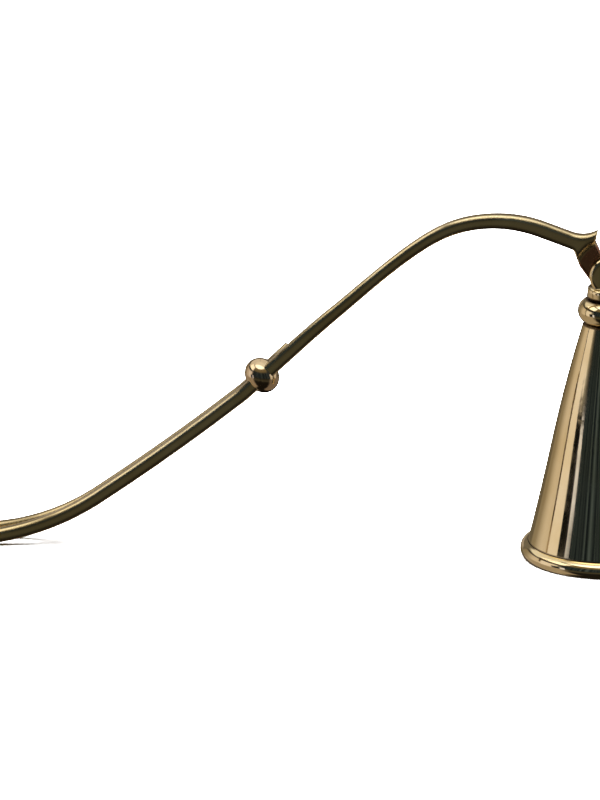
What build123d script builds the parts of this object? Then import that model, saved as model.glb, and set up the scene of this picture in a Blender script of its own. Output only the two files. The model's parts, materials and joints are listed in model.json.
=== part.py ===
from build123d import *
import os
from math import acos, asin, cos, degrees, radians, sin, sqrt

# A hinged brass candle snuffer, in millimetres. The bell stands on its mouth, its axis on +Z and the
# centre of the mouth at the origin. The hinge pin lies along Y. The handle is one bar that leaves the
# hinge towards -X, arches over and comes down to rest on its heel, level with the mouth.

# Bell: spun sheet, radii and heights on its outer face
mouth_radius = 17.1
cone_wall = 0.8
lip_height = 1.8
waist_radius = 12.75
waist_height = 26.5
waist_slope_share = 0.2
crown_radius = 5.9
crown_height = 54.5
crown_thickness = 1.0
crown_edge_round = 0.4

# Bead round the mouth, a ring of round section with a rebate for the lip
bead_section_radius = 1.85
bead_centre_from_mouth = 0.65
bead_foot_depth = 0.25
rebate_floor = 1.2
seat_clearance = 0.03

# Knob between bell and yoke
knob_height = 5.5
knob_radius = 7.2
knob_foot_radius = 5.3
knob_top_radius = 4.8
knob_belly_share = 0.48

# Yoke: neck, collar and two round cheeks on a threaded stem
neck_radius = 4.1
neck_height = 0.45
collar_radius = 5.2
collar_height = 2.4
collar_round = 0.9
pivot_above_knob = 5.6
cheek_radius = 4.6
cheek_round = 1.1
yoke_width = 6.4
stem_radius = 2.0
stem_past_nut = 1.2
stem_end_chamfer = 0.4

# Washer and nut inside the crown
washer_radius = 4.4
washer_thickness = 0.6
nut_across_flats = 7.0
nut_height = 2.6
nut_chamfer = 0.4
bolt_clearance = 0.05

# Hinge pin, riveted over both cheeks
pin_radius = 1.25
pin_head_radius = 1.9
pin_head_height = 0.5
pin_running_clearance = 0.06

# Handle bar, seen from the side. Angles are below the horizontal, on the way out from the crest
bar_thickness = 3.0
waist_thickness = 2.75
crest_thickness = 3.1
shoulder_thickness = 3.4
crest_reach = 25.5
crest_rise = 11.8
fore_radius = 30.0
fore_angle = 20.0
fore_run = 6.4
crest_radius = 28.5
crest_angle = 38.9
arm_angle = 43.9
clasp_run = 8.0
elbow_radius = 38.0
elbow_angle = 39.3
grip_bow_radius = 518.0
grip_angle = 34.85
heel_radius = 55.0
tail_radius = 40.0

# Handle bar, seen from above
bar_width = 3.0
shoulder_width = 3.4
strand_gap = 0.15
grip_run = 37.0
flare_radius = 210.0
eye_radius = 4.4
shoulder_reach = 12.0
spur_bend_radius = 8.0
spur_angle = 11.0
spur_run = 1.8
bar_edge_round = 0.6

# Horned shoulder and tongue, in places measured from the pivot
shoulder_sweep_radius = 8.2
horn_face_angle = 114.0
neck_foot_angle = 155.0
horn_tip_back = 2.8
horn_tip_rise = 10.0
armpit_back = 8.2
armpit_rise = 5.6
armpit_round = 0.8
tongue_thickness = 2.0
tongue_eye_radius = 4.4
tongue_heel_radius = 7.0
tongue_heel_angle = 165.0
tongue_root_depth = 1.0
tongue_side_clearance = 0.1
tongue_floor_clearance = 0.3

# Ball collar on both strands
ball_radius = 4.2
ball_half_length = 3.65
mortise_clearance = 0.04

# One overrun for every cut that passes right through
overrun = 1.0

# Heights up the bell's axis
knob_top = crown_height + knob_height
pivot_height = knob_top + pivot_above_knob
bead_centre_radius = mouth_radius + bead_centre_from_mouth
bead_centre_height = bead_section_radius - bead_foot_depth
lip_radius = mouth_radius + cone_wall


def save(part, name):
    """Label one finished piece and write it under its own name."""
    part.label = name
    export_step(part, f"parts/{name}.step")


def polar(radius, angle):
    """A point of the handle's side view, from its distance and direction from the pivot."""
    return radius * cos(radians(angle)), pivot_height + radius * sin(radians(angle))


def make_cone():
    """The spun bell: a straight lip, then two long tangent arcs that meet at the waist."""
    waist = (waist_radius, waist_height)
    inner_waist = (waist_radius - cone_wall, waist_height)
    inner_crown_height = crown_height - crown_thickness
    lip_top = rebate_floor + lip_height
    upward = (-waist_slope_share, 1)
    downward = (waist_slope_share, -1)
    with BuildPart() as cone:
        with BuildSketch(Plane.XZ) as wall:
            with BuildLine():
                outer_crown = TangentArc(waist, (crown_radius, crown_height), tangent=upward)
                outer_flare = TangentArc(waist, (lip_radius, lip_top), tangent=downward)
                inner_crown = TangentArc(
                    inner_waist, (crown_radius - cone_wall, inner_crown_height), tangent=upward
                )
                inner_flare = TangentArc(inner_waist, (mouth_radius, lip_top), tangent=downward)
                Polyline(outer_flare @ 1, (lip_radius, rebate_floor), (mouth_radius, rebate_floor),
                         inner_flare @ 1)
                Polyline(inner_crown @ 1, (0, inner_crown_height), (0, crown_height), outer_crown @ 1)
            make_face()
        revolve(axis=Axis.Z)
        crown_edge = cone.edges().filter_by(GeomType.CIRCLE).group_by(Axis.Z)[-1]
        fillet(crown_edge, crown_edge_round)
        with Locations((0, 0, crown_height)):
            Hole(stem_radius + bolt_clearance)
    return cone.part


def make_rim_bead():
    """The ring of round section, bored flush with the mouth and rebated for the lip."""
    bead_top = bead_centre_height + bead_section_radius
    with BuildPart() as bead:
        with BuildSketch(Plane.XZ) as section:
            with Locations((bead_centre_radius, bead_centre_height)):
                Circle(bead_section_radius)
            with Locations((0, -overrun)):
                Rectangle(bead_centre_radius + bead_section_radius + overrun, overrun,
                          align=(Align.MIN, Align.MIN), mode=Mode.SUBTRACT)
                Rectangle(mouth_radius, bead_top + 2 * overrun,
                          align=(Align.MIN, Align.MIN), mode=Mode.SUBTRACT)
            with Locations((0, rebate_floor)):
                Rectangle(lip_radius + seat_clearance, bead_top,
                          align=(Align.MIN, Align.MIN), mode=Mode.SUBTRACT)
        revolve(axis=Axis.Z)
    return bead.part


def make_knob():
    """The turned bead that stands on the crown, bored for the yoke's stem."""
    belly = (knob_radius, crown_height + knob_belly_share * knob_height)
    with BuildPart() as knob:
        with BuildSketch(Plane.XZ) as profile:
            with BuildLine():
                foot = Line((0, crown_height), (knob_foot_radius, crown_height))
                ThreePointArc(foot @ 1, belly, (knob_top_radius, knob_top))
                Polyline((knob_top_radius, knob_top), (0, knob_top), (0, crown_height))
            make_face()
        revolve(axis=Axis.Z)
        with Locations((0, 0, knob_top)):
            Hole(stem_radius + bolt_clearance)
    return knob.part


def make_yoke(stem_end):
    """Two round cheeks over collar, neck and stem, slotted for the handle's tongue."""
    slot_width = tongue_thickness + 2 * tongue_side_clearance
    slot_floor = pivot_height - tongue_eye_radius - tongue_floor_clearance
    collar_foot = knob_top + neck_height
    collar_top = collar_foot + collar_height
    with BuildPart() as yoke:
        with BuildSketch(Plane.XZ) as cheek_outline:
            with Locations((0, pivot_height)):
                Circle(cheek_radius)
        extrude(amount=yoke_width / 2, both=True)
        fillet(yoke.edges().filter_by(GeomType.CIRCLE), cheek_round)
        with BuildSketch(Plane.XZ) as turned_profile:
            with BuildLine():
                collar_side = Line((collar_radius, collar_foot), (collar_radius, collar_top - collar_round))
                RadiusArc(collar_side @ 1, (collar_radius - collar_round, collar_top), -collar_round)
                Polyline(
                    (collar_radius - collar_round, collar_top), (0, collar_top), (0, stem_end),
                    (stem_radius - stem_end_chamfer, stem_end),
                    (stem_radius, stem_end + stem_end_chamfer),
                    (stem_radius, knob_top), (neck_radius, knob_top),
                    (neck_radius, collar_foot), (collar_radius, collar_foot),
                )
            make_face()
        revolve(axis=Axis.Z)
        with BuildSketch(Plane.XY.offset(slot_floor)) as slot_outline:
            Rectangle(2 * (collar_radius + overrun), slot_width)
        extrude(amount=pivot_height + cheek_radius + overrun - slot_floor, mode=Mode.SUBTRACT)
        with BuildSketch(Plane.XZ) as pin_hole:
            with Locations((0, pivot_height)):
                Circle(pin_radius)
        extrude(amount=yoke_width, both=True, mode=Mode.SUBTRACT)
    return yoke.part


def make_washer(top):
    """A flat washer whose upper face meets the underside of the crown."""
    with BuildPart() as washer:
        with BuildSketch(Plane.XY.offset(top - washer_thickness)) as outline:
            Circle(washer_radius)
            Circle(stem_radius + bolt_clearance, mode=Mode.SUBTRACT)
        extrude(amount=washer_thickness)
    return washer.part


def make_nut(top):
    """A hexagon nut with chamfered corners, drawn up under the washer."""
    corner_radius = nut_across_flats / sqrt(3)
    chamfer_radius = nut_across_flats / 2
    with BuildPart() as nut:
        with BuildSketch(Plane.XY.offset(top - nut_height)) as outline:
            RegularPolygon(corner_radius, 6)
        extrude(amount=nut_height)
        with BuildSketch(Plane.XZ) as turned_profile:
            with BuildLine():
                Polyline(
                    (0, top), (chamfer_radius, top), (corner_radius, top - nut_chamfer),
                    (corner_radius, top - nut_height + nut_chamfer),
                    (chamfer_radius, top - nut_height), (0, top - nut_height), close=True,
                )
            make_face()
        revolve(axis=Axis.Z, mode=Mode.INTERSECT)
        with Locations((0, 0, top)):
            Hole(stem_radius + bolt_clearance)
    return nut.part


def make_pivot_pin():
    """The hinge pin along Y, with a low domed head riveted over each cheek."""
    half_length = yoke_width / 2
    with BuildPart() as pin:
        with BuildSketch(Plane.XY.offset(pivot_height)) as profile:
            with BuildLine():
                ThreePointArc(
                    (0, half_length + pin_head_height),
                    (pin_head_radius * cos(radians(45)), half_length + pin_head_height * sin(radians(45))),
                    (pin_head_radius, half_length),
                )
                Polyline((pin_head_radius, half_length), (pin_radius, half_length), (pin_radius, 0),
                         (0, 0), (0, half_length + pin_head_height))
            make_face()
        revolve(axis=Axis((0, 0, pivot_height), (0, 1, 0)))
        mirror(about=Plane.XZ)
    return pin.part


def fall(radius, from_angle, to_angle):
    """How far an arc of the handle comes down between two angles below the horizontal."""
    return radius * abs(cos(radians(from_angle)) - cos(radians(to_angle)))


def reach(radius, from_angle, to_angle):
    """How far the same arc goes out."""
    return radius * abs(sin(radians(from_angle)) - sin(radians(to_angle)))


# The arm's long bow takes up what lets the heel come down level with the mouth
crest_height = pivot_height + crest_rise
other_falls = (
    fall(crest_radius, 0, crest_angle)
    + clasp_run * sin(radians(arm_angle))
    + fall(elbow_radius, arm_angle, elbow_angle)
    + fall(grip_bow_radius, elbow_angle, grip_angle)
    + fall(heel_radius, grip_angle, 0)
)
arm_bow_fall = crest_height - bar_thickness / 2 - other_falls
arm_bow_radius = arm_bow_fall / fall(1, crest_angle, arm_angle)

# Places along the handle
clasp_direction = Vector(-cos(radians(arm_angle)), 0, -sin(radians(arm_angle)))
arm_square = Vector(-sin(radians(arm_angle)), 0, cos(radians(arm_angle)))
clasp_start = Vector(
    -crest_reach - reach(crest_radius, 0, crest_angle) - reach(arm_bow_radius, crest_angle, arm_angle),
    0,
    crest_height - fall(crest_radius, 0, crest_angle) - arm_bow_fall,
)
ball_centre = clasp_start + clasp_direction * (clasp_run / 2)
heel_place = (
    (clasp_start + clasp_direction * clasp_run).X
    - reach(elbow_radius, arm_angle, elbow_angle)
    - reach(grip_bow_radius, elbow_angle, grip_angle)
    - reach(heel_radius, grip_angle, 0)
)
strand_offset = (bar_width + strand_gap) / 2
flare_start = ball_centre.X - grip_run
flare_angle = degrees(acos((flare_radius + strand_offset) / (flare_radius + eye_radius)))
eye_centre = flare_start - (flare_radius + eye_radius) * sin(radians(flare_angle))
tail_end = eye_centre - eye_radius - bar_width / 2
clasp_end = ball_centre.X + ball_half_length * cos(radians(arm_angle))


def arm_normal(angle):
    """The direction square to the arm, upwards, where it slopes at this angle."""
    return Vector(-sin(radians(angle)), cos(radians(angle)))


def arm_middle(angle):
    """The middle of the arm where it slopes at this angle, which is below 0 before the crest."""
    crest = Vector(-crest_reach, crest_height)
    if angle < 0:
        return crest + (arm_normal(angle) - arm_normal(0)) * fore_radius
    crest_part = min(angle, crest_angle)
    bow_part = max(angle, crest_angle)
    return (
        crest
        + (arm_normal(crest_part) - arm_normal(0)) * crest_radius
        + (arm_normal(bow_part) - arm_normal(crest_angle)) * arm_bow_radius
    )


def bar_edge(side):
    """The top of the bar, side 1, or its underside, side -1, from the shoulder to the tail."""
    stations = [
        (-fore_angle, shoulder_thickness),
        (0, crest_thickness),
        (crest_angle / 2, (crest_thickness + waist_thickness) / 2),
        (crest_angle, waist_thickness),
        ((crest_angle + arm_angle) / 2, waist_thickness),
        (arm_angle, bar_thickness),
    ]
    points = [arm_middle(angle) + arm_normal(angle) * side * thickness / 2 for angle, thickness in stations]
    fore_direction = Vector(cos(radians(fore_angle)), -sin(radians(fore_angle)))
    arm_direction = Vector(-cos(radians(arm_angle)), -sin(radians(arm_angle)))
    fore = Line(points[0], points[0] + fore_direction * fore_run)
    Spline(points, tangents=(-fore_direction, arm_direction))
    clasp = PolarLine(points[-1], clasp_run, direction=arm_direction)
    elbow = JernArc(clasp @ 1, clasp % 1, elbow_radius - side * bar_thickness / 2, elbow_angle - arm_angle)
    grip = JernArc(elbow @ 1, elbow % 1, grip_bow_radius - side * bar_thickness / 2, grip_angle - elbow_angle)
    heel = JernArc(grip @ 1, grip % 1, heel_radius - side * bar_thickness / 2, -grip_angle)
    tail_angle = degrees(asin((heel_place - tail_end + overrun) / (tail_radius - bar_thickness / 2)))
    tail = JernArc(heel @ 1, heel % 1, tail_radius - side * bar_thickness / 2, -tail_angle)
    return fore @ 1, tail @ 1


def strand_edge(side):
    """The far strand from above: its outer edge, side 1, or inner edge, side -1, round to the eye's back."""
    offset_side = side * bar_width / 2
    run_start = (clasp_end, strand_offset + offset_side)
    run_end = (flare_start, strand_offset + offset_side)
    straight = Line(run_start, run_end)
    flare = JernArc(run_end, straight % 1, flare_radius - offset_side, -flare_angle)
    eye = JernArc(flare @ 1, flare % 1, eye_radius + offset_side, 90 + flare_angle)
    return run_start, eye @ 1


def arm_edge(side):
    """The arm from above: the near strand draws over to the middle and widens to the shoulder."""
    clasp_point = (clasp_end, side * bar_width / 2 - strand_offset)
    shoulder_point = (-shoulder_reach, side * shoulder_width / 2)
    Spline(clasp_point, shoulder_point, tangents=[(1, 0), (1, 0)])
    Line(shoulder_point, (0, side * shoulder_width / 2))
    return clasp_point, (0, side * shoulder_width / 2)


def spur_edge(side):
    """The far strand's other end from above: past the ball it bends outwards and ends square."""
    offset_side = side * bar_width / 2
    bend_start = (clasp_end, strand_offset + offset_side)
    bend = JernArc(bend_start, (1, 0), spur_bend_radius - offset_side, spur_angle)
    run = PolarLine(bend @ 1, spur_run, direction=bend % 1)
    return bend_start, run @ 1


def make_handle_rod():
    """One bar bent to a hairpin: near strand, arm, horned shoulder and tongue; far strand and spur."""
    side_depth = 2 * (eye_radius + bar_width)
    fore_direction = (cos(radians(fore_angle)), -sin(radians(fore_angle)))
    horn_foot = polar(shoulder_sweep_radius, horn_face_angle)
    neck_foot = polar(shoulder_sweep_radius, neck_foot_angle)
    sweep_middle = (horn_face_angle + neck_foot_angle) / 2
    horn_tip = (-horn_tip_back, pivot_height + horn_tip_rise)
    armpit = (-armpit_back, pivot_height + armpit_rise)
    heel_tangent_angle = tongue_heel_angle + degrees(acos(tongue_eye_radius / tongue_heel_radius))
    with BuildPart() as rod:
        with BuildSketch(Plane.XZ.offset(-side_depth / 2)) as side_view:
            with BuildLine():
                top_start, top_end = bar_edge(1)
                under_start, under_end = bar_edge(-1)
                Line(top_end, under_end)
                TangentArc(top_start, horn_tip, tangent=fore_direction)
                Line(horn_tip, horn_foot)
                ThreePointArc(horn_foot, polar(shoulder_sweep_radius, sweep_middle), neck_foot)
                Polyline(neck_foot, armpit, under_start)
            make_face()
            fillet(side_view.vertices().sort_by_distance(armpit)[0], armpit_round)
        extrude(amount=side_depth)
        with BuildSketch(Plane.XY.offset(-overrun)) as plan:
            for stretch_edge in (strand_edge, arm_edge, spur_edge):
                with BuildLine():
                    outer_start, outer_end = stretch_edge(1)
                    inner_start, inner_end = stretch_edge(-1)
                    Line(outer_start, inner_start)
                    Line(outer_end, inner_end)
                make_face()
                if stretch_edge == strand_edge:
                    mirror(about=Plane.XZ)
        extrude(amount=crest_height + crest_thickness, mode=Mode.INTERSECT)
        cross_edges = rod.edges().filter_by(Axis.Y) + rod.edges().filter_by(Axis.Z)
        fillet(rod.edges() - cross_edges, bar_edge_round)
        with BuildSketch(Plane.XZ.offset(-tongue_thickness / 2)) as tongue:
            with BuildLine():
                Polyline(
                    (0, pivot_height), horn_foot,
                    polar(shoulder_sweep_radius + tongue_root_depth, sweep_middle),
                    neck_foot, polar(tongue_heel_radius, tongue_heel_angle),
                    polar(tongue_eye_radius, heel_tangent_angle), close=True,
                )
            make_face()
            with Locations((0, pivot_height)):
                Circle(tongue_eye_radius)
                Circle(pin_radius + pin_running_clearance, mode=Mode.SUBTRACT)
        extrude(amount=tongue_thickness)
    return rod.part


def make_ball_collar():
    """The turned bead that clasps both strands in one rounded mortise."""
    strands_width = 2 * bar_width + strand_gap + 2 * mortise_clearance
    strands_height = bar_thickness + 2 * mortise_clearance
    lengthwise = Plane(ball_centre, x_dir=clasp_direction, z_dir=arm_square)
    crosswise = Plane(ball_centre, x_dir=(0, 1, 0), z_dir=clasp_direction)
    with BuildPart() as ball:
        with BuildSketch(lengthwise) as half_outline:
            Ellipse(ball_half_length, ball_radius)
            Rectangle(2 * ball_half_length, ball_radius, align=(Align.CENTER, Align.MAX), mode=Mode.SUBTRACT)
        revolve(axis=Axis(ball_centre, clasp_direction))
        with BuildSketch(crosswise) as mortise:
            RectangleRounded(strands_width, strands_height, bar_edge_round)
        extrude(amount=ball_half_length + overrun, both=True, mode=Mode.SUBTRACT)
    return ball.part


os.makedirs("parts", exist_ok=True)

crown_underside = crown_height - crown_thickness
washer_underside = crown_underside - washer_thickness
nut_underside = washer_underside - nut_height
save(make_cone(), "snuffer_cone")
save(make_rim_bead(), "rim_bead")
save(make_knob(), "knob")
save(make_yoke(nut_underside - stem_past_nut), "yoke")
save(make_washer(crown_underside), "stem_washer")
save(make_nut(washer_underside), "stem_nut")
save(make_pivot_pin(), "pivot_pin")
save(make_handle_rod(), "handle_rod")
save(make_ball_collar(), "ball_collar")
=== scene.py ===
import json
import math

import bpy
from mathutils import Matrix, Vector


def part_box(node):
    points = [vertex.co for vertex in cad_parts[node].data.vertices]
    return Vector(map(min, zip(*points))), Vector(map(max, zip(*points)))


# The looks of a polished brass candle snuffer. All lengths are in metres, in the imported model's own frame:
# the bell's mouth is centred on the origin, +Z runs up its axis and the handle leaves towards -X.

MM = 0.001

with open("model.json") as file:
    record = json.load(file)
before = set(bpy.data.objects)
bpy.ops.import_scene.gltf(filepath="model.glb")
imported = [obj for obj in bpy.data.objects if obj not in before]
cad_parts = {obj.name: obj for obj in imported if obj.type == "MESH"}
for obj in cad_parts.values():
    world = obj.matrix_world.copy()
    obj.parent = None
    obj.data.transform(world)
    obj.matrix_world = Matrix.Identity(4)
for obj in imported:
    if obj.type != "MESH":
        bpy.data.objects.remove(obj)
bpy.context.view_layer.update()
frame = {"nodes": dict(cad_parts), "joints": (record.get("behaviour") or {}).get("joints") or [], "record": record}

# Camera: the photograph's angle, from a long way off. Its azimuth runs from -Y towards +X. The angles are
# in degrees, and the lens and the sensor in millimetres.
AIM = Vector((-69.37, 0, 34.75)) * MM
CAMERA_AZIMUTH = 4.1
CAMERA_ELEVATION = 16.7
CAMERA_DISTANCE = 1800 * MM
LENS = 360.45
SENSOR_WIDTH = 36.0
CAMERA_REACH = 20.0

# Floor and the lamp that lights it, neither of which shows in the brass. The lamp's spread is in degrees.
FLOOR_SIZE = 6.0
FLOOR_COLOUR = (0.92, 0.92, 0.92, 1)
FLOOR_ROUGHNESS = 0.9
FLOOR_LAMP_STRENGTH = 18.0
FLOOR_LAMP_SPREAD = 70.0

# Studio that the brass mirrors. Azimuths run from the camera's side, 0, with the left negative, and
# elevations up from the horizon, both in degrees. Behind the panels, the camera's side of the room is
# dark with upright grey streaks, and the other sides are plain.
STUDIO_SIDES = (0.030, 0.024, 0.018, 1)
STREAK_DARK = (0.005, 0.008, 0.011, 1)
STREAK_GREY = (0.064, 0.086, 0.108, 1)
STREAK_WIDTH = 7.0
STREAK_DETAIL = 3.0
STREAK_EDGES = (0.40, 0.70)
STREAK_RANGE = (-68, 70)
STREAK_FADE = 4.0

# Each panel covers the ones before it. It has a name, its azimuth from and to, its elevation from and to,
# the width of its soft edges in azimuth and in elevation, and its colour.
STUDIO_PANELS = (
    ("table in front", -180, 180, -90, -2.5, 1, 2, (0.034, 0.030, 0.021, 1)),
    ("table glow", -180, 180, -23, -13, 1, 8, (0.066, 0.062, 0.046, 1)),
    ("table below", -180, 180, -90, -26, 1, 14, (0.012, 0.010, 0.008, 1)),
    ("table left", -150, -58, -62, -2.5, 20, 10, (0.38, 0.31, 0.25, 1)),
    ("table right", 62, 150, -84, -8, 24, 10, (0.26, 0.21, 0.18, 1)),
    ("back wall left", -181, -146, -5, 11, 12, 8, (0.40, 0.34, 0.29, 1)),
    ("low wall left", -181, -138, -20, -6, 12, 4, (0.14, 0.115, 0.075, 1)),
    ("back wall right", 112, 181, -2.5, 11, 8, 10, (0.34, 0.29, 0.26, 1)),
    ("left wall", -142, -100, -14, 20, 10, 6, (0.27, 0.22, 0.155, 1)),
    ("left screen", -120, -68, -14, 20, 28, 6, (0.64, 0.55, 0.49, 1)),
    ("screen edge", -96, -68, -14, 20, 2, 6, (0.82, 0.74, 0.74, 1)),
    ("left gap", -75, -62.5, -14, 5, 1.5, 2.5, (0.006, 0.006, 0.006, 1)),
    ("window strip", -62, -55, -14, 4.8, 1.5, 2.5, (0.78, 0.78, 1.00, 1)),
    ("right screen", 68, 118, -8, 20, 6, 6, (0.80, 0.72, 0.66, 1)),
    ("upper wall left", -181, -142, 11, 28, 14, 6, (0.16, 0.14, 0.11, 1)),
    ("upper wall right", 142, 181, 11, 28, 14, 6, (0.16, 0.14, 0.11, 1)),
    ("front glow", -60, 60, 38, 64, 20, 16, (0.20, 0.155, 0.085, 1)),
    ("back ceiling left", -181, -112, 28, 91, 10, 6, (0.80, 0.74, 0.68, 1)),
    ("back ceiling right", 112, 181, 28, 91, 10, 6, (0.80, 0.74, 0.68, 1)),
    ("ceiling", -181, 181, 62, 91, 1, 12, (0.95, 0.90, 0.86, 1)),
    ("left lamp", -116, -64, 35, 56, 14, 4, (1.60, 1.50, 1.42, 1)),
    ("overhead lamp", -100, 60, 62, 88, 40, 10, (2.20, 2.12, 2.04, 1)),
)

# Brass finishes: the two tints between which the metal drifts, and its smoothest and roughest polish
POLISHED = ((0.93, 0.79, 0.48, 1), (0.86, 0.70, 0.38, 1), 0.045, 0.11)
DRAWN = ((0.90, 0.77, 0.47, 1), (0.80, 0.65, 0.35, 1), 0.07, 0.15)
# Painted shade: a darker copy of the polished brass for the ball, which dims its reflections
SHADED_POLISH = ((0.78, 0.63, 0.40, 1), (0.60, 0.45, 0.26, 1), 0.06, 0.13)
RIVETED = ((0.88, 0.73, 0.42, 1), (0.74, 0.58, 0.31, 1), 0.09, 0.20)
MACHINED = ((0.74, 0.60, 0.36, 1), (0.58, 0.45, 0.25, 1), 0.22, 0.38)

# Coats over the brass: their tint and roughness
# Tarnish for the dark seams, and painted shade in the hollows, the slot and between the strands
TARNISH_AND_SHADE = ((0.075, 0.042, 0.018, 1), 0.42)
# Painted shade and reflection: the red-brown that the tongue takes between the yoke's cheeks
TONGUE_SHADE_COAT = ((0.46, 0.19, 0.12, 1), 0.24)
# Paler rubbed brass for the edges, which also paints a highlight line along them
WORN_AND_HIGHLIGHT = ((0.97, 0.86, 0.60, 1), 0.05)

# Noise patterns: the size of their features and the number of their finer layers
TINT_CLOUDS = (14 * MM, 4)
POLISH_CLOUDS = (5 * MM, 5)
STAIN_CLOUDS = (1.25 * MM, 3)
SWELLS = (7 * MM, 1)
LINES = (0.35 * MM, 3)
DENTS = (0.9 * MM, 2)

# Noise values at which the second tint or polish starts and is full, and the least and greatest strength
# of a cloudy coat, whether tarnish, dark seam or painted shade, from place to place
TINT_EDGES = (0.35, 0.65)
POLISH_EDGES = (0.3, 0.7)
STAIN_STRENGTH = (0.7, 1.2)

# Relief: heights, how far drawn lines are stretched along the bar, and the pitch of the stem's thread
SWELL_HEIGHT = 0.010 * MM
BAR_SWELL_HEIGHT = 0.045 * MM
LINE_HEIGHT = 0.0006 * MM
LINE_STRETCH = 40
DENT_HEIGHT = 0.03 * MM
THREAD_HEIGHT = 0.10 * MM
THREAD_PITCH = 0.7 * MM

# Edges that polishing has rolled over: how far in they start
BAR_ROLL = 1.35 * MM
YOKE_ROLL = 0.6 * MM
ROLL_SAMPLES = 8

# Rubbed edges, paler brass that also paints a highlight line along them: their reach, and how alike the
# rounded and the true direction of the surface are where the pale edge starts and where it is full
WEAR_REACH = 0.35 * MM
WEAR_SAMPLES = 4
WEAR_LIKENESS = (0.999, 0.95)
LIGHT_WEAR_AND_HIGHLIGHT = 0.5
FAIR_WEAR_AND_HIGHLIGHT = 0.6
HEAVY_WEAR_AND_HIGHLIGHT = 0.7

# Crevices: their reach, and how open the surface is where tarnish and painted shade start and where they are full
CREVICE_REACH = 1.1 * MM
CREVICE_SAMPLES = 6
CREVICE_OPENNESS = (0.80, 0.45)
THIN_TARNISH_AND_SHADE = 0.6
FAIR_TARNISH_AND_SHADE = 0.7
THICK_TARNISH_AND_SHADE = 0.8

# Places on the pieces, from the frame
BEAD_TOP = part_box("rim_bead")[1].z
KNOB_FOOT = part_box("knob")[0].z
KNOB_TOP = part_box("knob")[1].z
BALL_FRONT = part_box("ball_collar")[1].x
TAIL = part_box("handle_rod")[0].x
HINGE_HEIGHT = frame["joints"][0]["pos_m"][2]

# Bands along an axis, from and to: dark seams, and the stretch of the grip where shade between the strands is
# painted
BEAD_SEAM = (BEAD_TOP - 0.74 * MM, BEAD_TOP + 0.06 * MM)
CROWN_SEAM = (KNOB_FOOT - 0.3 * MM, KNOB_FOOT + 0.4 * MM)
NECK_SEAM = (KNOB_TOP - 0.1 * MM, KNOB_TOP + 0.6 * MM)
STRAND_RANGE = (TAIL + 15.5 * MM, BALL_FRONT)

# Where the painted shade in the slot, between the strands and on the tongue, and the thread start and
# where they are full: heights, distances from the middle plane to either side, and from the hinge pin
STEM_TOP = (KNOB_FOOT - 0.4 * MM, KNOB_FOOT - 0.6 * MM)
SLOT_FLOOR = (KNOB_TOP + 0.5 * MM, KNOB_TOP + 2.5 * MM)
SLOT_SIDES = (1.15 * MM, 1.035 * MM)
STRAND_SIDES = (0.40 * MM, 0.25 * MM)
TONGUE_SIDES = (1.40 * MM, 1.26 * MM)
TONGUE_REACH = (8.0 * MM, 7.0 * MM)
# How strongly the painted red-brown shade covers the tongue
TONGUE_SHADE_SHARE = 0.9


def make_camera():
    azimuth = math.radians(CAMERA_AZIMUTH)
    elevation = math.radians(CAMERA_ELEVATION)
    level = Vector((math.sin(azimuth), -math.cos(azimuth), 0)) * math.cos(elevation)
    back = level + Vector((0, 0, math.sin(elevation)))
    data = bpy.data.cameras.new("camera")
    data.lens = LENS
    data.sensor_width = SENSOR_WIDTH
    data.clip_end = CAMERA_REACH
    camera = bpy.data.objects.new("camera", data)
    camera.location = AIM + back * CAMERA_DISTANCE
    camera.rotation_euler = (-back).to_track_quat("-Z", "Y").to_euler()
    bpy.context.scene.collection.objects.link(camera)
    bpy.context.scene.camera = camera


class Graph:
    """Short ways to lay nodes in one node tree. A socket is linked, and anything else is a fixed value."""

    def __init__(self, tree):
        self.tree = tree

    def put(self, socket, value):
        if isinstance(value, bpy.types.NodeSocket):
            self.tree.links.new(value, socket)
        else:
            socket.default_value = value

    def node(self, kind, inputs=(), **settings):
        made = self.tree.nodes.new(kind)
        for name, value in settings.items():
            setattr(made, name, value)
        for key, value in dict(inputs).items():
            self.put(made.inputs[key], value)
        return made

    def math(self, operation, *values):
        return self.node("ShaderNodeMath", enumerate(values), operation=operation).outputs[0]

    def times(self, first, second):
        return self.math("MULTIPLY", first, second)

    def distance(self, first, second):
        """The longest side of a right triangle that has these two for its others."""
        squares = [self.math("POWER", value, 2.0) for value in (first, second)]
        return self.math("SQRT", self.math("ADD", *squares))

    def step(self, value, start, full):
        """A smooth rise from 0 at start to 1 at full, which may be the lower of the two."""
        made = self.node(
            "ShaderNodeMapRange",
            {"Value": value, "From Min": start, "From Max": full},
            interpolation_type="SMOOTHSTEP",
        )
        return made.outputs["Result"]

    def between(self, value, low, high, fade):
        """1 from low to high, with a soft edge of width fade centred on each end."""
        rise = self.step(value, low - fade / 2, low + fade / 2)
        fall = self.step(value, high + fade / 2, high - fade / 2)
        return self.times(rise, fall)

    def line_noise(self, value, detail):
        """Soft noise from 0 to 1 that changes with one value."""
        made = self.node(
            "ShaderNodeTexNoise", {"W": value, "Scale": 1.0, "Detail": detail}, noise_dimensions="1D"
        )
        return made.outputs[0]

    def mix(self, share, first, second):
        """A colour between two. The node has its two colours at 6 and 7 and the mixed one at 2."""
        made = self.node("ShaderNodeMix", {"Factor": share}, data_type="RGBA")
        self.put(made.inputs[6], first)
        self.put(made.inputs[7], second)
        return made.outputs[2]

    def blend(self, share, first, second):
        """A number between two. The node has its two numbers at 2 and 3 and the blended one at 0."""
        made = self.node("ShaderNodeMix", {"Factor": share, 2: first, 3: second})
        return made.outputs[0]


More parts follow.
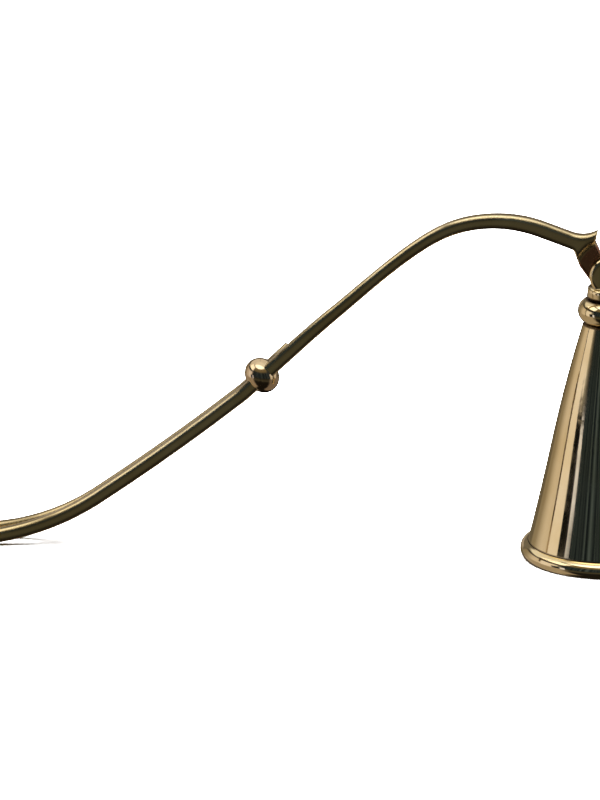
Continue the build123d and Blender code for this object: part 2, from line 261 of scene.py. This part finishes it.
def make_world():
    world = bpy.data.worlds.new("studio")
    bpy.context.scene.world = world
    world.use_nodes = True
    graph = Graph(world.node_tree)
    place = graph.node("ShaderNodeTexCoord").outputs["Generated"]
    x, y, z = graph.node("ShaderNodeSeparateXYZ", {0: place}).outputs
    azimuth = graph.math("DEGREES", graph.math("ARCTAN2", x, graph.times(y, -1.0)))
    elevation = graph.math("DEGREES", graph.math("ARCSINE", z))
    streaks = graph.line_noise(graph.math("DIVIDE", azimuth, STREAK_WIDTH), STREAK_DETAIL)
    streaked = graph.mix(graph.step(streaks, *STREAK_EDGES), STREAK_DARK, STREAK_GREY)
    in_front = graph.between(azimuth, *STREAK_RANGE, STREAK_FADE)
    colour = graph.mix(in_front, STUDIO_SIDES, streaked)
    for name, left, right, low, high, soft_side, soft_end, tint in STUDIO_PANELS:
        sides = graph.between(azimuth, left, right, soft_side)
        ends = graph.between(elevation, low, high, soft_end)
        colour = graph.mix(graph.times(sides, ends), colour, tint)
        colour.node.label = name
    graph.put(world.node_tree.nodes["Background"].inputs["Color"], colour)


def make_floor():
    bpy.ops.mesh.primitive_plane_add(size=FLOOR_SIZE, location=(0, 0, 0))
    floor = bpy.context.object
    floor.name = "floor"
    floor.visible_glossy = False
    material = bpy.data.materials.new("floor_white")
    material.use_nodes = True
    shader = material.node_tree.nodes["Principled BSDF"]
    shader.inputs["Base Color"].default_value = FLOOR_COLOUR
    shader.inputs["Roughness"].default_value = FLOOR_ROUGHNESS
    shader.inputs["Specular IOR Level"].default_value = 0.0
    floor.data.materials.append(material)
    lamp_data = bpy.data.lights.new("floor_lamp", "SUN")
    lamp_data.energy = FLOOR_LAMP_STRENGTH
    lamp_data.angle = math.radians(FLOOR_LAMP_SPREAD)
    lamp = bpy.data.objects.new("floor_lamp", lamp_data)
    lamp.visible_glossy = False
    bpy.context.scene.collection.objects.link(lamp)


class Brass(Graph):
    """One brass finish: a drifting tint and polish, tarnish and painted shade in the hollows, rubbed edges with a
    painted highlight, and fine relief.
    """

    def __init__(self, name, finish):
        pale, deep, smoothest, roughest = finish
        self.material = bpy.data.materials.new(name)
        self.material.use_nodes = True
        super().__init__(self.material.node_tree)
        self.place = self.node("ShaderNodeTexCoord").outputs["Object"]
        self.x, self.y, self.z = self.node("ShaderNodeSeparateXYZ", {0: self.place}).outputs
        self.colour = self.mix(self.step(self.noise(TINT_CLOUDS), *TINT_EDGES), pale, deep)
        dulled = self.step(self.noise(POLISH_CLOUDS), *POLISH_EDGES)
        self.roughness = self.blend(dulled, smoothest, roughest)
        self.relief = None

    def noise(self, pattern, stretch=(1, 1, 1)):
        """Soft noise from 0 to 1, drawn out along the axes where stretch is above 1."""
        size, detail = pattern
        scale = [1 / (size * share) for share in stretch]
        place = self.node("ShaderNodeVectorMath", {0: self.place, 1: scale}, operation="MULTIPLY")
        made = self.node("ShaderNodeTexNoise", {"Vector": place.outputs[0], "Scale": 1.0, "Detail": detail})
        return made.outputs[0]

    def raise_by(self, height, amount):
        """Relief on top of what is there, standing amount proud where height is 1."""
        bump = self.node("ShaderNodeBump", {"Height": height, "Distance": amount})
        if self.relief is not None:
            self.put(bump.inputs["Normal"], self.relief)
        self.relief = bump.outputs[0]

    def roll_edges(self, reach):
        """Edges that polishing has rolled over. This comes before all other relief."""
        self.relief = self.node("ShaderNodeBevel", {"Radius": reach}, samples=ROLL_SAMPLES).outputs[0]

    def swell(self, height=SWELL_HEIGHT):
        """The slow unevenness that hand polishing leaves."""
        self.raise_by(self.noise(SWELLS), height)

    def spin_lines(self):
        """Fine rings round the bell's axis."""
        size, detail = LINES
        along = self.math("DIVIDE", self.math("ADD", self.distance(self.x, self.y), self.z), size)
        self.raise_by(self.line_noise(along, detail), LINE_HEIGHT)

    def draw_lines(self):
        """Fine lines along the bar, which runs along X."""
        self.raise_by(self.noise(LINES, (LINE_STRETCH, 1, 1)), LINE_HEIGHT)

    def band(self, value, low, high):
        """1 between two places, fading over half their distance beyond each."""
        fade = (high - low) / 2
        return self.between(value, low - fade / 2, high + fade / 2, fade)

    def cover(self, share, coat):
        """A coat over the brass, from none of it where share is 0 to all of it where share is 1."""
        tint, roughness = coat
        self.colour = self.mix(share, self.colour, tint)
        self.roughness = self.blend(share, self.roughness, roughness)

    def lay_cloudy_coat(self, mask, coat=TARNISH_AND_SHADE):
        """A cloudy coat where mask is 1."""
        clouded = self.times(mask, self.blend(self.noise(STAIN_CLOUDS), *STAIN_STRENGTH))
        self.cover(self.node("ShaderNodeClamp", {0: clouded}).outputs[0], coat)

    def tarnish_and_shade_crevices(self, share):
        """Tarnish and painted shade in the piece's own narrow hollows, where little of the space around is open.
        """
        shade = self.node(
            "ShaderNodeAmbientOcclusion",
            {"Distance": CREVICE_REACH},
            samples=CREVICE_SAMPLES,
            only_local=True,
        )
        self.lay_cloudy_coat(self.times(self.step(shade.outputs["AO"], *CREVICE_OPENNESS), share))

    def wear_and_highlight_edges(self, share):
        """Paler, smoother metal along the edges, where hands and cloths rub; the paler colour also paints a
        highlight line there.
        """
        rounded = self.node("ShaderNodeBevel", {"Radius": WEAR_REACH}, samples=WEAR_SAMPLES).outputs[0]
        true = self.node("ShaderNodeNewGeometry").outputs["Normal"]
        likeness = self.node("ShaderNodeVectorMath", {0: rounded, 1: true}, operation="DOT_PRODUCT")
        rubbed_and_lit = self.step(likeness.outputs["Value"], *WEAR_LIKENESS)
        self.cover(self.times(rubbed_and_lit, share), WORN_AND_HIGHLIGHT)

    def done(self):
        """The material, with all that was laid put on its shader."""
        shader = self.material.node_tree.nodes["Principled BSDF"]
        shader.inputs["Metallic"].default_value = 1.0
        self.put(shader.inputs["Base Color"], self.colour)
        self.put(shader.inputs["Roughness"], self.roughness)
        self.put(shader.inputs["Normal"], self.relief)
        return self.material


def finish_bell(brass):
    """Spun and polished sheet, with thin dark lines where it enters the bead and meets the knob."""
    brass.swell()
    brass.spin_lines()
    brass.wear_and_highlight_edges(LIGHT_WEAR_AND_HIGHLIGHT)
    brass.lay_cloudy_coat(brass.band(brass.z, *BEAD_SEAM))
    brass.lay_cloudy_coat(brass.band(brass.z, *CROWN_SEAM))


def finish_bead(brass):
    """Spun and polished round, with tarnish and painted shade in the hollows of its seat."""
    brass.swell()
    brass.spin_lines()
    brass.wear_and_highlight_edges(LIGHT_WEAR_AND_HIGHLIGHT)
    brass.tarnish_and_shade_crevices(THICK_TARNISH_AND_SHADE)


def finish_knob(brass):
    """Turned and polished, with a dark seam at its top."""
    brass.spin_lines()
    brass.wear_and_highlight_edges(LIGHT_WEAR_AND_HIGHLIGHT)
    brass.lay_cloudy_coat(brass.band(brass.z, *NECK_SEAM))


def finish_yoke(brass):
    """Polished cheeks and neck, with painted shade in the slot, a dark seam at the neck, tarnish and painted shade
    in the hollows, and a thread on the stem.
    """
    brass.roll_edges(YOKE_ROLL)
    brass.swell()
    thread = brass.math("SINE", brass.times(brass.z, math.tau / THREAD_PITCH))
    on_stem = brass.step(brass.z, *STEM_TOP)
    brass.raise_by(brass.times(thread, on_stem), THREAD_HEIGHT)
    brass.wear_and_highlight_edges(FAIR_WEAR_AND_HIGHLIGHT)
    # Painted shade: the slot between the cheeks is darkened as the shade that falls in it
    in_slot = brass.step(brass.math("ABSOLUTE", brass.y), *SLOT_SIDES)
    above_floor = brass.step(brass.z, *SLOT_FLOOR)
    brass.lay_cloudy_coat(brass.times(in_slot, above_floor))
    brass.lay_cloudy_coat(brass.band(brass.z, *NECK_SEAM))
    brass.tarnish_and_shade_crevices(FAIR_TARNISH_AND_SHADE)


def finish_bar(brass):
    """Drawn bar, with painted shade where the strands lie together, a painted red-brown shade and reflection on
    the tongue, and paler rubbed edges that also carry a painted highlight.
    """
    brass.roll_edges(BAR_ROLL)
    brass.swell(BAR_SWELL_HEIGHT)
    brass.draw_lines()
    brass.wear_and_highlight_edges(HEAVY_WEAR_AND_HIGHLIGHT)
    to_side = brass.math("ABSOLUTE", brass.y)
    # Painted shade: the faces where the strands lie together on the grip are darkened as the shade between them
    on_grip = brass.band(brass.x, *STRAND_RANGE)
    brass.lay_cloudy_coat(brass.times(brass.step(to_side, *STRAND_SIDES), on_grip))
    from_pin = brass.distance(brass.x, brass.math("SUBTRACT", brass.z, HINGE_HEIGHT))
    # Painted shade and reflection: the tongue, where it sits between the cheeks, is coloured red-brown
    shade_on_tongue = brass.times(brass.step(from_pin, *TONGUE_REACH), brass.step(to_side, *TONGUE_SIDES))
    brass.lay_cloudy_coat(brass.times(shade_on_tongue, TONGUE_SHADE_SHARE), TONGUE_SHADE_COAT)
    brass.tarnish_and_shade_crevices(THICK_TARNISH_AND_SHADE)


def finish_ball(brass):
    """A darker copy of the polished brass, which paints shade on the ball, with tarnish and painted shade in the
    passage for the bar.
    """
    brass.swell()
    brass.wear_and_highlight_edges(LIGHT_WEAR_AND_HIGHLIGHT)
    brass.tarnish_and_shade_crevices(FAIR_TARNISH_AND_SHADE)


def finish_pin(brass):
    """Riveted heads, dented by the hammer."""
    brass.raise_by(brass.noise(DENTS), DENT_HEIGHT)
    brass.wear_and_highlight_edges(FAIR_WEAR_AND_HIGHLIGHT)


def finish_fastener(brass):
    """Dull brass, as it comes off the lathe."""
    brass.spin_lines()
    brass.wear_and_highlight_edges(HEAVY_WEAR_AND_HIGHLIGHT)
    brass.tarnish_and_shade_crevices(THIN_TARNISH_AND_SHADE)


# The record's material slots: the brass that each starts from, and the work done on it
FINISHES = {
    "bell_brass": (POLISHED, finish_bell),
    "bead_brass": (POLISHED, finish_bead),
    "turned_brass": (POLISHED, finish_knob),
    "yoke_brass": (POLISHED, finish_yoke),
    "bar_brass": (DRAWN, finish_bar),
    "ball_brass": (SHADED_POLISH, finish_ball),
    "pin_brass": (RIVETED, finish_pin),
    "fastener_brass": (MACHINED, finish_fastener),
}


def make_material(slot):
    start, work = FINISHES[slot]
    brass = Brass(slot, start)
    work(brass)
    return brass.done()


def dress_pieces():
    """Each piece takes the material of the slot that the record gives it."""
    made = {}
    for subpart in frame["record"]["subparts"]:
        slot = subpart["material_slot"]
        if slot not in made:
            made[slot] = make_material(slot)
        places = frame["nodes"][subpart["node"]].data.materials
        if not places:
            places.append(made[slot])
        for index in range(len(places)):
            places[index] = made[slot]


make_camera()
make_world()
make_floor()
dress_pieces()
bpy.context.scene.view_settings.view_transform = "Standard"
